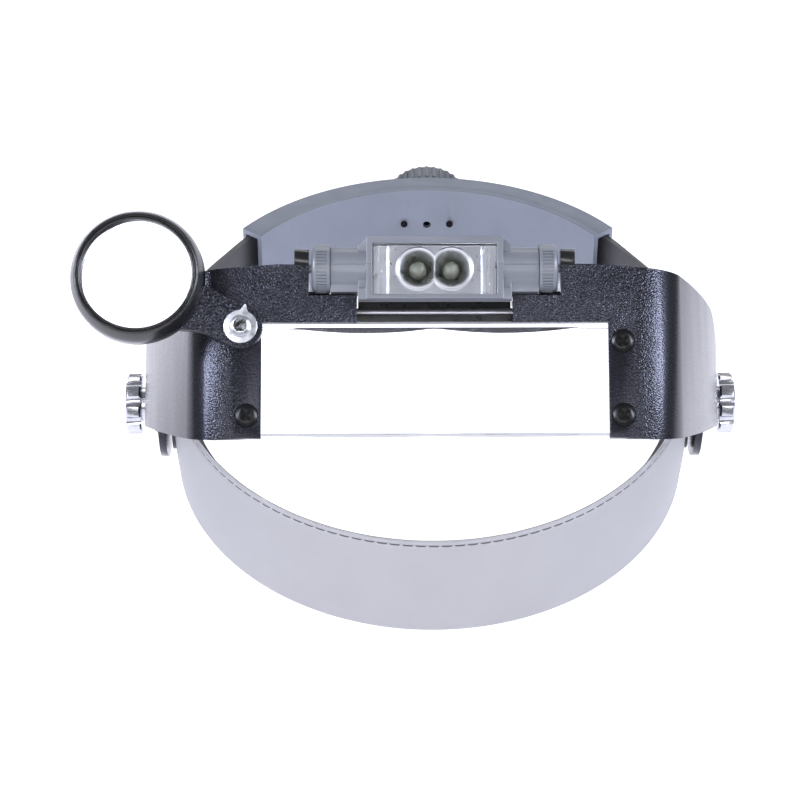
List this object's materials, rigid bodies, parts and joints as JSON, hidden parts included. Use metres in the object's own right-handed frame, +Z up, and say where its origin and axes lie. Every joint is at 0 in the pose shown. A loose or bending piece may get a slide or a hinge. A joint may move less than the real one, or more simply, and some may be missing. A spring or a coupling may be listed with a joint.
{
  "type": "lighted headband magnifier",
  "caption": "Headband magnifier: padded forehead band, tilting visor with fixed and flip-down lenses, swing-out loupe and a battery lamp.",
  "frame": {"origin": "on the surface that the headband stands on, midway between the two temple pivots", "axes": "+X from the wearer's right temple to the left one, which is the viewer's right when facing the lenses; +Y towards the back of the head; +Z up, out of the headband's loop"},
  "size_m": [0.2016, 0.2077, 0.1272],
  "materials": {
    "pad_cover": "light grey crowned cover with a piped and stitched edge",
    "sweat_foam": "dark soft foam",
    "strap_plastic": "dark grey, satin",
    "steel": "bright",
    "knob_silver": "silver plated, softly polished",
    "housing_plastic": "blue-grey, satin",
    "black_plastic": "black with a fine leather-like grain",
    "black_steel": "blackened",
    "clear_lens": "clear, polished",
    "lamp_plastic": "light blue-grey, satin",
    "reflector": "bright vacuum-coated",
    "led_resin": "clear resin with a pale yellow chip",
    "board": "green circuit board",
    "contact_brass": "plain"
  },
  "bodies": {
    "headband": {"forehead_cover": "pad_cover", "forehead_foam": "sweat_foam", "band_strip": "strap_plastic", "temple_plate_left": "strap_plastic", "temple_plate_right": "strap_plastic", "pivot_bolt_left": "steel", "pivot_bolt_right": "steel", "friction_washer_left": "strap_plastic", "friction_washer_right": "strap_plastic", "knob_washer_left": "black_plastic", "knob_washer_right": "black_plastic"},
    "tightening_knob_left": {"temple_knob_left": "knob_silver"},
    "tightening_knob_right": {"temple_knob_right": "knob_silver"},
    "size_strap_left": {"strap_left": "strap_plastic"},
    "size_strap_right": {"strap_right": "strap_plastic"},
    "rear_housing": {"rear_inner_cover": "housing_plastic", "rear_outer_cover": "housing_plastic", "cover_screws": "black_steel"},
    "size_adjuster": {"pinion": "black_plastic", "adjuster_knob": "housing_plastic", "knob_screw": "steel"},
    "visor": {"visor_shell": "black_plastic", "lens_crossbar": "black_plastic", "main_lens": "clear_lens", "lens_clamp_left": "black_plastic", "lens_clamp_right": "black_plastic", "lens_screws": "black_steel", "loupe_screw": "steel", "loupe_washer": "steel", "loupe_spacer": "steel", "loupe_nut": "steel"},
    "flip_lens_unit": {"flip_lens": "clear_lens", "flip_arm_left": "black_plastic", "flip_arm_right": "black_plastic", "flip_axle": "steel"},
    "loupe": {"loupe_ring": "black_plastic", "loupe_lens": "clear_lens", "loupe_retainer": "black_plastic"},
    "lamp": {"lamp_top_shell": "lamp_plastic", "lamp_bottom_shell": "lamp_plastic", "lamp_window": "clear_lens", "lamp_reflector": "reflector", "led_left": "led_resin", "led_right": "led_resin", "lamp_board": "board", "button_cells": "steel", "lamp_contacts": "contact_brass"},
    "battery_cap_left": {"lamp_cap_left": "lamp_plastic", "cap_spring_left": "steel"},
    "battery_cap_right": {"lamp_cap_right": "lamp_plastic", "cap_spring_right": "steel"}
  },
  "joints": [
    {"name": "visor_tilt", "type": "hinge", "parent": "headband", "child": "visor", "pos_m": [0, 0, 0.0175], "axis": [1, 0, 0], "range_deg": [-40, 70]},
    {"name": "flip_lens_swing", "type": "hinge", "parent": "visor", "child": "flip_lens_unit", "pos_m": [0, -0.06061, 0.09789], "axis": [1, 0, 0], "range_deg": [0, 75]},
    {"name": "loupe_swing", "type": "hinge", "parent": "visor", "child": "loupe", "pos_m": [-0.0552, -0.06892, 0.09808], "axis": [0, -0.6691, 0.7431], "range_deg": [-20, 184]},
    {"name": "lamp_tilt", "type": "hinge", "parent": "visor", "child": "lamp", "pos_m": [0, -0.05365, 0.10847], "axis": [1, 0, 0], "range_deg": [-25, 25]},
    {"name": "battery_cap_left_turn", "type": "hinge", "parent": "lamp", "child": "battery_cap_left", "pos_m": [-0.033, -0.05365, 0.10847], "axis": [1, 0, 0], "range_deg": [0, 60]},
    {"name": "battery_cap_right_turn", "type": "hinge", "parent": "lamp", "child": "battery_cap_right", "pos_m": [0.033, -0.05365, 0.10847], "axis": [1, 0, 0], "range_deg": [0, 60]},
    {"name": "tightening_knob_left_turn", "type": "hinge", "parent": "headband", "child": "tightening_knob_left", "pos_m": [-0.092, 0, 0.0175], "axis": [1, 0, 0], "range_deg": [-360, 360]},
    {"name": "tightening_knob_right_turn", "type": "hinge", "parent": "headband", "child": "tightening_knob_right", "pos_m": [0.092, 0, 0.0175], "axis": [1, 0, 0], "range_deg": [-360, 360]},
    {"name": "rear_slide", "type": "slide", "parent": "headband", "child": "rear_housing", "axis": [0, 1, 0], "range_m": [-0.007, 0.007]},
    {"name": "strap_left_flex", "type": "hinge", "parent": "headband", "child": "size_strap_left", "pos_m": [-0.08225, 0.0275, 0.0175], "axis": [0, 0, 1], "range_deg": [-4.89, 4.89]},
    {"name": "strap_right_flex", "type": "hinge", "parent": "headband", "child": "size_strap_right", "pos_m": [0.08225, 0.0275, 0.0175], "axis": [0, 0, 1], "range_deg": [-4.89, 4.89]},
    {"name": "size_adjuster_turn", "type": "hinge", "parent": "rear_housing", "child": "size_adjuster", "pos_m": [0, 0.105, 0.0205], "axis": [0, 1, 0], "range_deg": [-74.95, 74.95]}
  ],
  "couplings": [
    {"joint": "strap_left_flex", "follows": "rear_slide", "rad_per_m": 12.158},
    {"joint": "strap_right_flex", "follows": "rear_slide", "rad_per_m": -12.158},
    {"joint": "size_adjuster_turn", "follows": "rear_slide", "rad_per_m": -186.75}
  ]
}
